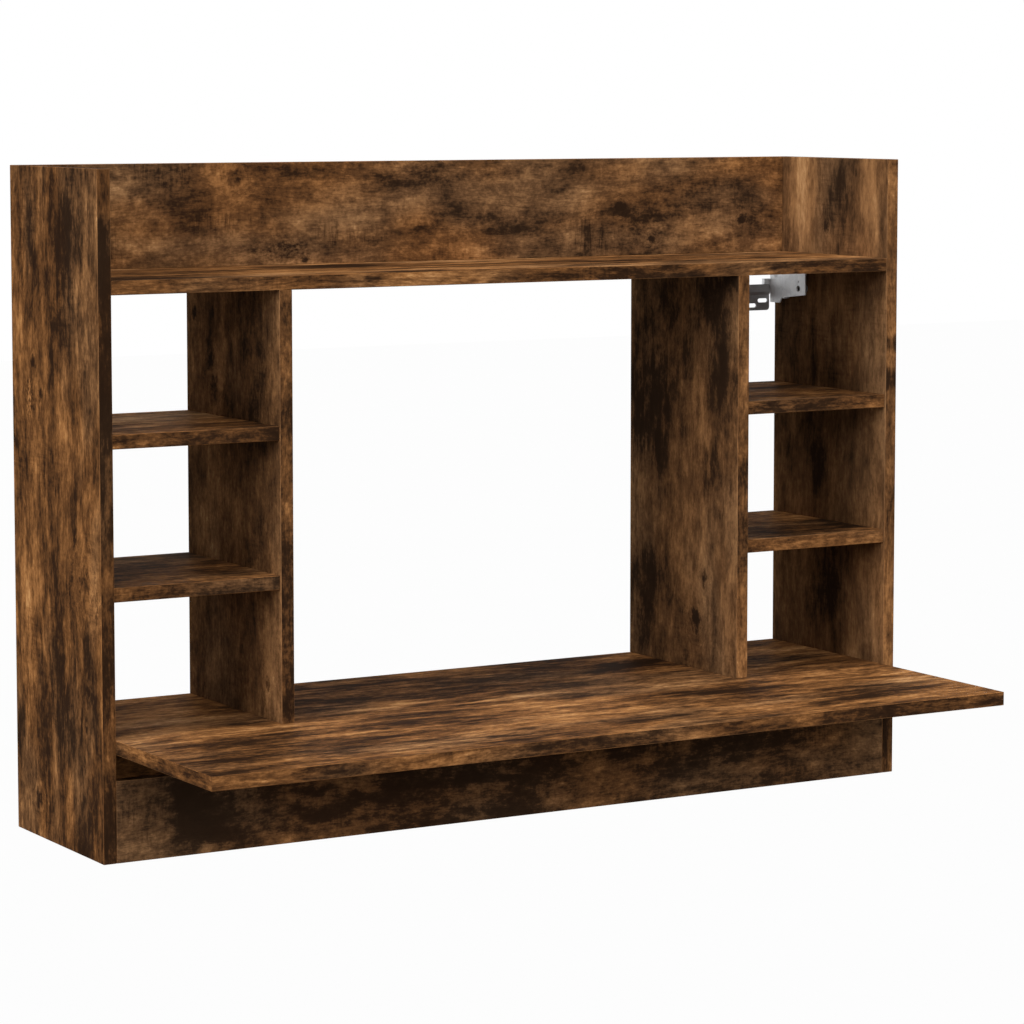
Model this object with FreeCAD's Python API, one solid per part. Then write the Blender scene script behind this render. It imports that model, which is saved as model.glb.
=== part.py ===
import FreeCAD, Part
import os

from FreeCAD import Placement, Rotation, Vector

# A wall desk of foil-faced boards that hangs on two adjustable cabinet hangers. Millimetres throughout.
# X runs across the width, Y points to the wall, which is the plane Y = 0, and Z points up. Levels are
# counted from the bottom edges while building; the finished pieces are lowered so that the origin lies
# on the wall, midway between the centre slots of the two wall plates.

# The desk as a whole
WIDTH = 1000.0            # over the side panels
BODY_DEPTH = 225.0        # wall to the front edges of the side panels
DESK_DEPTH = 450.0        # wall to the front edge of the desktop
BOARD = 15.0              # thickness of every board
EASE = 0.5                # chamfer along every edge of a board

# Heights, from the bottom edges up
SKIRT_HEIGHT = 113.0      # bottom edges to the underside of the desktop
CUBBY_HEIGHT = 142.0      # clear height of one cubby
LEDGE_HEIGHT = 113.0      # top shelf to the top edge of the board behind it
FINGER_GAP = 27.5         # front apron to the underside of the desktop

# Bays of small shelves, one at each side
BAY_WIDTH = 190.0         # clear width of a bay
SHELF_SETBACK = 2.0       # front edge of a small shelf behind the front edges of the panels
SHELVES = ("lower", "upper")

# Bores
FIT = 0.1                 # room round a fastener in its bore
BORE_SPARE = 0.5          # room beyond the tip of a fastener
FACE_SKIN = 4.0           # board left under a blind bore in a face
OVERRUN = 5.0             # how far a cutting tool stands out of the piece
ROUND_OFF = 0.001         # a shorter distance counts as none

# Cam discs that pull the ends of the boards to the side panels
CAM_RADIUS = 7.5
CAM_SETBACK = 34.0        # end of the board to the middle of the disc
CAM_SINK = 0.3            # disc below the face of the board
CAM_SKIN = 2.5            # board left behind the disc
CAM_SLOT_WIDTH = 1.6
CAM_SLOT_DEPTH = 1.5
CAM_DEPTH_SHARES = (0.2, 0.8)
CAM_HEIGHT_SHARE = 0.5

# Wall plates: a sheet with its top edge set off the wall, so that a hook can drop in behind it
PLATE_SHEET = 2.0
PLATE_INSET = 9.5         # side panel to the near end of the plate
PLATE_CORNER = 4.0
JOGGLE = 3.0              # wall to the back of the flange
FLANGE_HEIGHT = 9.0
JOGGLE_HEIGHT = 4.0       # height of the sloping part below the flange
SLOT_WIDTH = 4.9
SIDE_SLOT_LENGTH = 14.3
SIDE_SLOT_SPACING = 41.0
SIDE_SLOT_RISE = 11.8     # bottom edge of the plate to the middle of the side slots
CENTRE_SLOT_LENGTH = 23.0
CENTRE_SLOT_RISE = 6.1
SLOT_EDGE = 2.35          # side slot to the end of the plate
SLOT_ROOM = 4.05          # side slots to the sloping part

# Hooks: a threaded block with a claw that sits on the flange of the wall plate
SEAT_GAP = 0.1            # claw above the edge that it sits on
SLIDE_FIT = 0.3           # room between pieces that slide past each other
TURN_FIT = 0.1            # room round a turning screw
CLAW_STANDOFF = 0.6       # wall to the back of the claw
CLAW_OVERHANG = 0.6       # claw in front of the flange
CLAW_HEIGHT = 6.5
CLAW_REACH = 19.2         # side panel to the far end of the claw
LIP_ROOM = 1.5            # lip of the claw above the lower end of the flange
BLOCK_LENGTH = 12.4
BLOCK_HEIGHT = 13.0
HOOK_EASE = 0.6

# Travel of the adjustment
HEIGHT_TRAVEL = 6.0       # up and down from the middle
DEPTH_TRAVEL = 10.0       # away from the wall
STOP_GAP = 0.5            # room left at each end of the travel in height

# Housings: a folded channel of sheet steel, open below, screwed to the side panel under the top shelf
SHEET = 1.5
HOUSING_DROP = 0.5        # below the top shelf
HOUSING_REAR_GAP = 0.6    # claw to the rear end of the housing
REAR_HEIGHT = 45.5
STEP_HEIGHT = 39.3
FRONT_HEIGHT = 34.0
FOOT_LENGTH = 19.7        # rear part of full height
STEP_LENGTH = 3.8
BULKHEAD_GAP = 17.0       # front of the carriage to the wall that holds the depth screw
BULKHEAD_HEIGHT = 20.0
ACCESS_RADIUS = 3.5       # hole that the fixing screw is driven through
ACCESS_GAP = 13.0         # bulkhead to the middle of that hole
ACCESS_DROP = 27.3        # top shelf to the middle of that hole
FRONT_MARGIN = 13.7       # that hole to the front end
PUNCH_RADIUS = 1.2        # small hole above it
PUNCH_RISE = 8.0
LUG_RADIUS = 4.5          # end of the near wall round the fixing screw

# Carriages: a frame round the hook block, moved in depth by one screw and holding the other one
ARM_THICKNESS = 3.0
SPINE_LENGTH = 7.0
TIP_GAP = 1.0             # hook block to the tip of the depth screw
ENGAGED_LENGTH = 4.0      # depth screw still in the carriage at the end of its travel
CARRIAGE_REAR_GAP = 1.8   # rear end of the housing to the rear end of the carriage
CARRIAGE_DROP = 6.6       # top of the housing, inside, to the top of the carriage

# Adjusting screws
ADJUSTER_RADIUS = 2.5
ADJUSTER_RIM = 1.0        # head beyond the thread, all round
ADJUSTER_ROOM = 0.5       # head to the walls of the housing
ADJUSTER_HEAD_LENGTH = 2.6
ADJUSTER_COLLAR_LENGTH = 1.7
ADJUSTER_SLOT_WIDTH = 1.0
ADJUSTER_SLOT_DEPTH = 1.2

# Fixings of a housing on its side panel
FIXING_HEAD_RADIUS = 3.0
FIXING_HEAD_LENGTH = 2.0
FIXING_RADIUS = 2.0
PEG_RADIUS = 4.0
PEG_DROP = 12.0           # top shelf to the middle of the pegs
PEG_LENGTH_SHARES = (0.2, 0.56)

# Sizes that follow: the boards
INNER_HALF = WIDTH / 2 - BOARD
DIVIDER_OUTER = INNER_HALF - BAY_WIDTH
DIVIDER_INNER = DIVIDER_OUTER - BOARD
APRON_HEIGHT = SKIRT_HEIGHT - FINGER_GAP
DESK_TOP = SKIRT_HEIGHT + BOARD
SHELF_UNDER = DESK_TOP + len(SHELVES) * (CUBBY_HEIGHT + BOARD) + CUBBY_HEIGHT
SHELF_TOP = SHELF_UNDER + BOARD
HEIGHT = SHELF_TOP + LEDGE_HEIGHT
BITE = BOARD - FACE_SKIN

# Widths of the hanger, from the side panel
ADJUSTER_HEAD_RADIUS = ADJUSTER_RADIUS + ADJUSTER_RIM
HOUSING_WIDTH = 2 * (ADJUSTER_HEAD_RADIUS + ADJUSTER_ROOM + SHEET)
SLIDER_NEAR = SHEET + SLIDE_FIT
SLIDER_FAR = HOUSING_WIDTH - SHEET - SLIDE_FIT
PLATE_WIDTH = SIDE_SLOT_SPACING + SIDE_SLOT_LENGTH + 2 * SLOT_EDGE

# Levels of the hanger, down from the top shelf
HOUSING_TOP = SHELF_UNDER - HOUSING_DROP
CARRIAGE_TOP = HOUSING_TOP - SHEET - CARRIAGE_DROP
WINDOW_TOP = CARRIAGE_TOP - ARM_THICKNESS
CLAW_TOP = WINDOW_TOP - STOP_GAP - HEIGHT_TRAVEL
CLAW_BOTTOM = CLAW_TOP - CLAW_HEIGHT
BLOCK_BOTTOM = CLAW_TOP - BLOCK_HEIGHT
WINDOW_BOTTOM = BLOCK_BOTTOM - HEIGHT_TRAVEL - STOP_GAP
CARRIAGE_BOTTOM = WINDOW_BOTTOM - ARM_THICKNESS
DEPTH_SCREW_LEVEL = (BLOCK_BOTTOM + CLAW_TOP) / 2
ACCESS_LEVEL = SHELF_UNDER - ACCESS_DROP
PEG_LEVEL = SHELF_UNDER - PEG_DROP
PLATE_TOP = CLAW_BOTTOM - SEAT_GAP
SLOPE_TOP = PLATE_TOP - FLANGE_HEIGHT
SLOPE_BOTTOM = SLOPE_TOP - JOGGLE_HEIGHT
PLATE_BOTTOM = SLOPE_BOTTOM - SLOT_ROOM - SLOT_WIDTH / 2 - SIDE_SLOT_RISE
LIP_BOTTOM = SLOPE_TOP + LIP_ROOM
FIXING_LEVEL = PLATE_BOTTOM + CENTRE_SLOT_RISE

# Standoffs of the hanger, from the wall
FLANGE_FRONT = JOGGLE + PLATE_SHEET
CLAW_FRONT = FLANGE_FRONT + CLAW_OVERHANG
BLOCK_FRONT = CLAW_FRONT + BLOCK_LENGTH
HOUSING_REAR = CLAW_FRONT + HOUSING_REAR_GAP
CARRIAGE_REAR = HOUSING_REAR + CARRIAGE_REAR_GAP
HEIGHT_SCREW_STANDOFF = (CARRIAGE_REAR + BLOCK_FRONT) / 2
SCREW_TIP = BLOCK_FRONT + TIP_GAP
CARRIAGE_FRONT = SCREW_TIP + DEPTH_TRAVEL + ENGAGED_LENGTH
BULKHEAD_REAR = CARRIAGE_FRONT + BULKHEAD_GAP
BULKHEAD_FRONT = BULKHEAD_REAR + SHEET
ACCESS_STANDOFF = BULKHEAD_FRONT + ACCESS_GAP
HOUSING_FRONT = ACCESS_STANDOFF + FRONT_MARGIN
HOUSING_LENGTH = HOUSING_FRONT - HOUSING_REAR

SIDES = {"left": -1, "right": 1}
ACROSS = Vector(1, 0, 0)
TO_WALL = Vector(0, 1, 0)
UP = Vector(0, 0, 1)


def span_box(x_span, y_span, z_span):
    """A box between two limits along each axis, in either order."""
    spans = [sorted(span) for span in (x_span, y_span, z_span)]
    low = Vector(*(span[0] for span in spans))
    return Part.makeBox(*(span[1] - span[0] for span in spans), low)


def rod(radius, start, end):
    """A round rod from one point to another."""
    return Part.makeCylinder(radius, (end - start).Length, start, end - start)


def turned(profile, start, axis):
    """A turned piece from (radius, distance) pairs, whose distances run from start along axis."""
    points = [Vector(radius, 0, distance) for radius, distance in profile]
    face = Part.Face(Part.makePolygon(points + points[:1]))
    solid = face.revolve(Vector(), UP, 360)
    solid.Placement = Placement(start, Rotation(UP, axis))
    return solid


def driver_slot(start, axis, radius, width, depth):
    """A tool for a screwdriver slot right across a round head, sunk from start along axis."""
    reach = radius + OVERRUN
    tool = span_box((-reach, reach), (-width / 2, width / 2), (-OVERRUN, depth))
    tool.Placement = Placement(start, Rotation(UP, axis))
    return tool


def runs_along(edge, axis):
    """Whether a straight edge lies along an axis."""
    span = edge.lastVertex().Point - edge.firstVertex().Point
    return span.cross(axis).Length < ROUND_OFF


def board(x_span, y_span, z_span):
    """One board with all its edges eased."""
    blank = span_box(x_span, y_span, z_span)
    return blank.makeChamfer(EASE, blank.Edges)


def shelf_level(number):
    """Underside of a small shelf, counted from 1 at the bottom of its bay."""
    return DESK_TOP + number * CUBBY_HEIGHT + (number - 1) * BOARD


def make_boards():
    """Every board by name, still without bores."""
    between = (-INNER_HALF, INNER_HALF)
    body = (-BODY_DEPTH, 0)
    rear = (-BOARD, 0)
    boards = {
        "top_shelf": board(between, body, (SHELF_UNDER, SHELF_TOP)),
        "top_back_board": board(between, rear, (SHELF_TOP, HEIGHT)),
        "desktop": board(between, (-DESK_DEPTH, 0), (SKIRT_HEIGHT, DESK_TOP)),
        "front_apron": board(between, (-BODY_DEPTH, BOARD - BODY_DEPTH), (0, APRON_HEIGHT)),
        "rear_rail": board(between, rear, (0, SKIRT_HEIGHT)),
    }
    for side, sign in SIDES.items():
        inner = sign * INNER_HALF
        boards[f"{side}_side_panel"] = board((inner, sign * WIDTH / 2), body, (0, HEIGHT))
        divider_span = (sign * DIVIDER_INNER, sign * DIVIDER_OUTER)
        boards[f"{side}_divider"] = board(divider_span, body, (DESK_TOP, SHELF_UNDER))
        for number, place in enumerate(SHELVES, start=1):
            under = shelf_level(number)
            boards[f"{side}_{place}_shelf"] = board(
                (sign * DIVIDER_OUTER, inner), (SHELF_SETBACK - BODY_DEPTH, 0), (under, under + BOARD)
            )
    return boards


class Joinery:
    """The bores to cut in each board, and the fasteners that sit in them."""

    def __init__(self):
        self.bores = {}
        self.fasteners = {}

    def bore(self, name, *tools):
        """Keep cutting tools for a board."""
        self.bores.setdefault(name, []).extend(tools)

    def fasten(self, group, solid):
        """Keep a fastener in its group."""
        self.fasteners.setdefault(group, []).append(solid)

    def cam(self, name, face, opening):
        """A cam disc let into a board at a point of the face that opening points out of."""
        floor = face - opening * (BOARD - CAM_SKIN)
        self.bore(name, rod(CAM_RADIUS + FIT, face + opening * OVERRUN, floor))
        top = face - opening * CAM_SINK
        slot = driver_slot(top, opening * -1, CAM_RADIUS, CAM_SLOT_WIDTH, CAM_SLOT_DEPTH)
        self.fasten("cam_discs", rod(CAM_RADIUS, top, floor).cut(slot))


def join_boards(joinery):
    """Cams at both ends of the boards that span the desk, below the level ones and behind the others."""
    levels = (("top_shelf", SHELF_UNDER), ("desktop", SKIRT_HEIGHT))
    uprights = (
        ("top_back_board", 0, SHELF_TOP, LEDGE_HEIGHT),
        ("rear_rail", 0, 0, SKIRT_HEIGHT),
        ("front_apron", BOARD - BODY_DEPTH, 0, APRON_HEIGHT),
    )
    for sign in SIDES.values():
        along = sign * (INNER_HALF - CAM_SETBACK)
        for name, under in levels:
            for share in CAM_DEPTH_SHARES:
                joinery.cam(name, Vector(along, -share * BODY_DEPTH, under), UP * -1)
        for name, rear, bottom, height in uprights:
            joinery.cam(name, Vector(along, rear, bottom + CAM_HEIGHT_SHARE * height), TO_WALL)


def at(inset, standoff, level):
    """A point of the right-hand hanger, by its distance from the side panel and from the wall."""
    return Vector(INNER_HALF - inset, -standoff, level)


def hanger_prism(outline, near, far):
    """A prism between two insets from the side panel, from an outline of (standoff, level) points."""
    points = [at(far, standoff, level) for standoff, level in outline]
    return Part.Face(Part.makePolygon(points + points[:1])).extrude(ACROSS * (far - near))


def hanger_box(insets, standoffs, levels):
    """A box of the right-hand hanger."""
    x_span = [INNER_HALF - inset for inset in insets]
    y_span = [-standoff for standoff in standoffs]
    return span_box(x_span, y_span, levels)


def plate_slot(along, rise, length):
    """A tool for a slot in a wall plate, along and rise being the place of its middle."""
    reach = (length - SLOT_WIDTH) / 2
    radius = SLOT_WIDTH / 2
    level = PLATE_BOTTOM + rise
    ends = (along - reach, along + reach)
    depth = (-OVERRUN, PLATE_SHEET + OVERRUN)
    tool = hanger_box(ends, depth, (level - radius, level + radius))
    for end in ends:
        tool = tool.fuse(rod(radius, *(at(end, standoff, level) for standoff in depth)))
    return tool.removeSplitter()


def make_wall_plate():
    """Slotted sheet on the wall, with its flange set forward."""
    outline = [
        (0, PLATE_BOTTOM),
        (0, SLOPE_BOTTOM),
        (JOGGLE, SLOPE_TOP),
        (JOGGLE, PLATE_TOP),
        (FLANGE_FRONT, PLATE_TOP),
        (FLANGE_FRONT, SLOPE_TOP),
        (PLATE_SHEET, SLOPE_BOTTOM),
        (PLATE_SHEET, PLATE_BOTTOM),
    ]
    plate = hanger_prism(outline, PLATE_INSET, PLATE_INSET + PLATE_WIDTH)
    plate = plate.makeFillet(PLATE_CORNER, [edge for edge in plate.Edges if runs_along(edge, TO_WALL)])
    middle = PLATE_INSET + PLATE_WIDTH / 2
    slots = [plate_slot(middle, CENTRE_SLOT_RISE, CENTRE_SLOT_LENGTH)]
    for along in (middle - SIDE_SLOT_SPACING / 2, middle + SIDE_SLOT_SPACING / 2):
        slots.append(plate_slot(along, SIDE_SLOT_RISE, SIDE_SLOT_LENGTH))
    return plate.cut(slots)


def make_hook():
    """Threaded block whose claw sits on the flange of the wall plate, with a lip behind it."""
    lip_front = JOGGLE - SLIDE_FIT
    claw = hanger_prism(
        [
            (CLAW_STANDOFF, LIP_BOTTOM),
            (CLAW_STANDOFF, CLAW_TOP),
            (CLAW_FRONT, CLAW_TOP),
            (CLAW_FRONT, CLAW_BOTTOM),
            (lip_front, CLAW_BOTTOM),
            (lip_front, LIP_BOTTOM),
        ],
        SLIDER_NEAR,
        CLAW_REACH,
    )
    block = hanger_box((SLIDER_NEAR, SLIDER_FAR), (CLAW_FRONT, BLOCK_FRONT), (BLOCK_BOTTOM, CLAW_TOP))
    front = block.BoundBox.YMin + ROUND_OFF
    block = block.makeChamfer(HOOK_EASE, [edge for edge in block.Edges if edge.BoundBox.YMax < front])
    bore = rod(
        ADJUSTER_RADIUS + TURN_FIT,
        at(HOUSING_WIDTH / 2, HEIGHT_SCREW_STANDOFF, BLOCK_BOTTOM - OVERRUN),
        at(HOUSING_WIDTH / 2, HEIGHT_SCREW_STANDOFF, CLAW_TOP + OVERRUN),
    )
    return claw.fuse(block).removeSplitter().cut(bore)


def make_carriage():
    """Frame round the hook block, with a bore for each adjusting screw."""
    spine_rear = CARRIAGE_FRONT - SPINE_LENGTH
    outline = [
        (CARRIAGE_REAR, CARRIAGE_BOTTOM),
        (CARRIAGE_FRONT, CARRIAGE_BOTTOM),
        (CARRIAGE_FRONT, CARRIAGE_TOP),
        (CARRIAGE_REAR, CARRIAGE_TOP),
        (CARRIAGE_REAR, WINDOW_TOP),
        (spine_rear, WINDOW_TOP),
        (spine_rear, WINDOW_BOTTOM),
        (CARRIAGE_REAR, WINDOW_BOTTOM),
    ]
    frame = hanger_prism(outline, SLIDER_NEAR, SLIDER_FAR)
    axis = HOUSING_WIDTH / 2
    upright_bore = rod(
        ADJUSTER_RADIUS + TURN_FIT,
        at(axis, HEIGHT_SCREW_STANDOFF, CARRIAGE_BOTTOM - OVERRUN),
        at(axis, HEIGHT_SCREW_STANDOFF, CARRIAGE_TOP + OVERRUN),
    )
    level_bore = rod(
        ADJUSTER_RADIUS + TURN_FIT,
        at(axis, spine_rear - OVERRUN, DEPTH_SCREW_LEVEL),
        at(axis, CARRIAGE_FRONT + OVERRUN, DEPTH_SCREW_LEVEL),
    )
    return frame.cut([upright_bore, level_bore])


def adjuster(start, axis, held, length):
    """A screw from its head along axis, held between head and collar over a thickness, to its tip."""
    collar = ADJUSTER_HEAD_LENGTH + held + 2 * SLIDE_FIT
    profile = [
        (0, 0),
        (ADJUSTER_HEAD_RADIUS, 0),
        (ADJUSTER_HEAD_RADIUS, ADJUSTER_HEAD_LENGTH),
        (ADJUSTER_RADIUS, ADJUSTER_HEAD_LENGTH),
        (ADJUSTER_RADIUS, collar),
        (ADJUSTER_HEAD_RADIUS, collar),
        (ADJUSTER_HEAD_RADIUS, collar + ADJUSTER_COLLAR_LENGTH),
    ]
    if length > collar + ADJUSTER_COLLAR_LENGTH:
        profile += [(ADJUSTER_RADIUS, collar + ADJUSTER_COLLAR_LENGTH), (ADJUSTER_RADIUS, length)]
    profile.append((0, max(length, collar + ADJUSTER_COLLAR_LENGTH)))
    slot = driver_slot(start, axis, ADJUSTER_HEAD_RADIUS, ADJUSTER_SLOT_WIDTH, ADJUSTER_SLOT_DEPTH)
    return turned(profile, start, axis).cut(slot)


def make_height_screw():
    """Upright screw of the hook block, held in the two arms of the carriage."""
    head = CARRIAGE_BOTTOM - SLIDE_FIT - ADJUSTER_HEAD_LENGTH
    start = at(HOUSING_WIDTH / 2, HEIGHT_SCREW_STANDOFF, head)
    return adjuster(start, UP, CARRIAGE_TOP - CARRIAGE_BOTTOM, 0)


def make_depth_screw():
    """Level screw from the bulkhead of the housing into the spine of the carriage."""
    head = BULKHEAD_FRONT + SLIDE_FIT + ADJUSTER_HEAD_LENGTH
    start = at(HOUSING_WIDTH / 2, head, DEPTH_SCREW_LEVEL)
    return adjuster(start, TO_WALL, SHEET, head - SCREW_TIP)


def make_housing():
    """Folded channel: a stepped far wall, a short near wall that ends in a lug, and a bulkhead between them."""
    outline = [
        (HOUSING_REAR, HOUSING_TOP),
        (HOUSING_REAR, HOUSING_TOP - REAR_HEIGHT),
        (HOUSING_REAR + FOOT_LENGTH, HOUSING_TOP - REAR_HEIGHT),
        (HOUSING_REAR + FOOT_LENGTH + STEP_LENGTH, HOUSING_TOP - STEP_HEIGHT),
        (HOUSING_FRONT, HOUSING_TOP - FRONT_HEIGHT),
        (HOUSING_FRONT, HOUSING_TOP),
    ]
    blank = hanger_prism(outline, 0, HOUSING_WIDTH)
    folds = [edge for edge in blank.Edges if runs_along(edge, TO_WALL) and edge.CenterOfMass.z > PEG_LEVEL]
    blank = blank.makeFillet(SHEET, folds)
    hollow = hanger_box(
        (SHEET, HOUSING_WIDTH - SHEET),
        (HOUSING_REAR - OVERRUN, HOUSING_FRONT + OVERRUN),
        (HOUSING_TOP - REAR_HEIGHT - OVERRUN, HOUSING_TOP - SHEET),
    )
    ahead_of_near_wall = hanger_box(
        (-OVERRUN, SHEET + OVERRUN),
        (BULKHEAD_FRONT, HOUSING_FRONT + OVERRUN),
        (HOUSING_TOP - REAR_HEIGHT - OVERRUN, HOUSING_TOP - SHEET),
    )
    below_near_wall = hanger_box(
        (-OVERRUN, SHEET + OVERRUN),
        (HOUSING_REAR - OVERRUN, BULKHEAD_FRONT),
        (HOUSING_TOP - REAR_HEIGHT - OVERRUN, HOUSING_TOP - FRONT_HEIGHT),
    )
    lug_arm = hanger_box(
        (0, SHEET),
        (BULKHEAD_FRONT, ACCESS_STANDOFF),
        (ACCESS_LEVEL - LUG_RADIUS, ACCESS_LEVEL + LUG_RADIUS),
    )
    lug = rod(LUG_RADIUS, at(0, ACCESS_STANDOFF, ACCESS_LEVEL), at(SHEET, ACCESS_STANDOFF, ACCESS_LEVEL))
    bulkhead = hanger_box(
        (0, HOUSING_WIDTH - SHEET),
        (BULKHEAD_REAR, BULKHEAD_FRONT),
        (DEPTH_SCREW_LEVEL - BULKHEAD_HEIGHT / 2, DEPTH_SCREW_LEVEL + BULKHEAD_HEIGHT / 2),
    )
    holes = [
        fixing_bore(),
        rod(
            ADJUSTER_RADIUS + TURN_FIT,
            at(HOUSING_WIDTH / 2, BULKHEAD_REAR - OVERRUN, DEPTH_SCREW_LEVEL),
            at(HOUSING_WIDTH / 2, BULKHEAD_FRONT + OVERRUN, DEPTH_SCREW_LEVEL),
        ),
        rod(
            ACCESS_RADIUS,
            at(HOUSING_WIDTH / 2, ACCESS_STANDOFF, ACCESS_LEVEL),
            at(HOUSING_WIDTH + OVERRUN, ACCESS_STANDOFF, ACCESS_LEVEL),
        ),
        rod(
            PUNCH_RADIUS,
            at(HOUSING_WIDTH / 2, ACCESS_STANDOFF, ACCESS_LEVEL + PUNCH_RISE),
            at(HOUSING_WIDTH + OVERRUN, ACCESS_STANDOFF, ACCESS_LEVEL + PUNCH_RISE),
        ),
    ]
    pegs = peg_rods(PEG_RADIUS, BITE)
    channel = blank.cut([hollow, ahead_of_near_wall, below_near_wall])
    return channel.fuse([lug_arm, lug, bulkhead] + pegs).removeSplitter().cut(holes)


def panel_rod(radius, standoff, level, depth):
    """A rod from the inside of a housing's near wall to a depth in the side panel."""
    return rod(radius, at(SHEET, standoff, level), at(-depth, standoff, level))


def peg_rods(radius, depth):
    """The pegs on the near wall of a housing, or tools for their bores."""
    standoffs = [HOUSING_REAR + share * HOUSING_LENGTH for share in PEG_LENGTH_SHARES]
    return [panel_rod(radius, standoff, PEG_LEVEL, depth) for standoff in standoffs]


def fixing_bore():
    """A tool for the bore of the screw that holds a housing."""
    return panel_rod(FIXING_RADIUS + FIT, ACCESS_STANDOFF, ACCESS_LEVEL, BITE + BORE_SPARE)


def make_fixing_screw():
    """Screw that holds a housing on its side panel, reached through the hole in the far wall."""
    profile = [
        (0, 0),
        (FIXING_HEAD_RADIUS, 0),
        (FIXING_HEAD_RADIUS, FIXING_HEAD_LENGTH),
        (FIXING_RADIUS, FIXING_HEAD_LENGTH),
        (FIXING_RADIUS, FIXING_HEAD_LENGTH + SHEET + BITE),
        (0, FIXING_HEAD_LENGTH + SHEET + BITE),
    ]
    start = at(SHEET + FIXING_HEAD_LENGTH, ACCESS_STANDOFF, ACCESS_LEVEL)
    slot = driver_slot(start, ACROSS, FIXING_HEAD_RADIUS, ADJUSTER_SLOT_WIDTH, FIXING_HEAD_LENGTH / 2)
    return turned(profile, start, ACROSS).cut(slot)


def mirrored(shape):
    """The left-hand copy of a right-hand piece."""
    return shape.mirror(Vector(), ACROSS)


def add_hangers(pieces, joinery):
    """Both hangers, with the bores of their fixings in the side panels."""
    right_hand = {
        "hanger_housing": make_housing(),
        "hook": make_hook(),
        "carriage": make_carriage(),
        "height_screw": make_height_screw(),
        "depth_screw": make_depth_screw(),
        "wall_plate": make_wall_plate(),
    }
    bores = peg_rods(PEG_RADIUS + FIT, BITE + BORE_SPARE) + [fixing_bore()]
    screw = make_fixing_screw()
    for side, sign in SIDES.items():
        handed = mirrored if sign < 0 else Part.Shape.copy
        for name, shape in right_hand.items():
            pieces[f"{side}_{name}"] = handed(shape)
        joinery.bore(f"{side}_side_panel", *(handed(tool) for tool in bores))
        joinery.fasten("hanger_screws", handed(screw))


def main():
    """Build every piece and write one file for each."""
    pieces = make_boards()
    joinery = Joinery()
    join_boards(joinery)
    add_hangers(pieces, joinery)
    for name, tools in joinery.bores.items():
        pieces[name] = pieces[name].cut(tools)
    for group, solids in joinery.fasteners.items():
        pieces[group] = Part.makeCompound(solids)
    os.makedirs("parts", exist_ok=True)
    for name, shape in pieces.items():
        shape.translate(UP * -FIXING_LEVEL)
        shape.exportStep(f"parts/{name}.step")


main()
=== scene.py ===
"""Looks of the wall desk: smoked oak boards on plated cabinet hangers, in a plain studio."""

import logging
import math
from dataclasses import dataclass
from enum import Enum
from typing import Union

import bpy
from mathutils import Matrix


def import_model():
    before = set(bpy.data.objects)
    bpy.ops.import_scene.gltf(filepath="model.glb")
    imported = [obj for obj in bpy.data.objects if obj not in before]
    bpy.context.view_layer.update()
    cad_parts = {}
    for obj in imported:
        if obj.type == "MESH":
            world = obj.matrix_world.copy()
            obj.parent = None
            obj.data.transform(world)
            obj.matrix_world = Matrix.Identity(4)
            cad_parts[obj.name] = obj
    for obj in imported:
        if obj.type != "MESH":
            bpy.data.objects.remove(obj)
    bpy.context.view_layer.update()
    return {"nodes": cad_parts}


LOG = logging.getLogger("wall_desk")

Socket = bpy.types.NodeSocket
Number = Union[float, Socket]
Point = tuple[float, float, float]
Colour = tuple[float, float, float, float]


def tint(red: float, green: float, blue: float) -> Colour:
    """Linear colour of an sRGB colour.

    Args:
        red: red, from 0 to 255.
        green: green, from 0 to 255.
        blue: blue, from 0 to 255.

    Returns:
        Linear red, green, blue and an alpha of 1.
    """
    parts = [part / 255 for part in (red, green, blue)]
    linear = [part / 12.92 if part <= 0.04045 else ((part + 0.055) / 1.055) ** 2.4 for part in parts]
    return (linear[0], linear[1], linear[2], 1.0)


@dataclass(frozen=True)
class Noise:
    """A kind of noise: cycles to the metre on each axis, octaves, and the strength of the finer ones."""

    scale: Point
    detail: float = 3.0
    rough: float = 0.55


@dataclass(frozen=True)
class Film:
    """A layer of a finish: its noise, where it starts and ends to show, and what it adds where it shows."""

    noise: Noise
    low: float
    high: float
    strength: float = 1.0


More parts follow.
